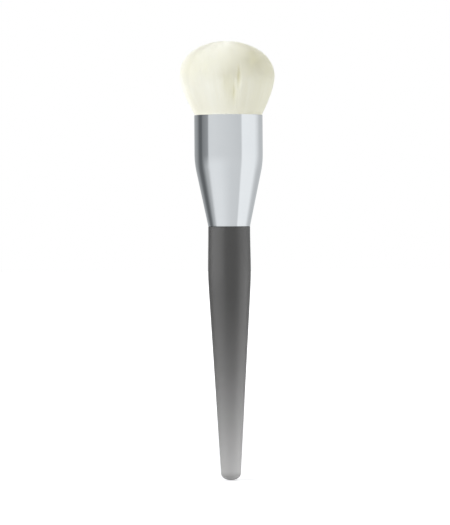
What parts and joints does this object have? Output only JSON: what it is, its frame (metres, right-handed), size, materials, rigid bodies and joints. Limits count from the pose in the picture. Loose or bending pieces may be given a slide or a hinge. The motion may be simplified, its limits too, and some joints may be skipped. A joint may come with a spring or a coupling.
{
  "type": "foundation brush",
  "caption": "Make-up brush with a full domed head of soft cream filaments, a tapered polished aluminium ferrule and a frosted handle that fades from smoke grey to clear.",
  "frame": {"origin": "middle of the butt of the handle, the lowest point of the upright brush", "axes": "+Z along the brush from the butt to the head, which is the axis it is turned about; X and Y are alike"},
  "size_m": [0.0358, 0.0358, 0.1692],
  "materials": {
    "handle": "satin",
    "ferrule": "polished",
    "adhesive": "gloss",
    "resin": "gloss",
    "thread": "matte",
    "bristles": "matte"
  },
  "bodies": {
    "root": {"handle": "handle", "ferrule": "ferrule", "tenon_adhesive": "adhesive", "root_resin": "resin", "binding_thread": "thread", "core_bristles": "bristles", "middle_bristles": "bristles", "outer_bristles": "bristles"}
  },
  "joints": []
}
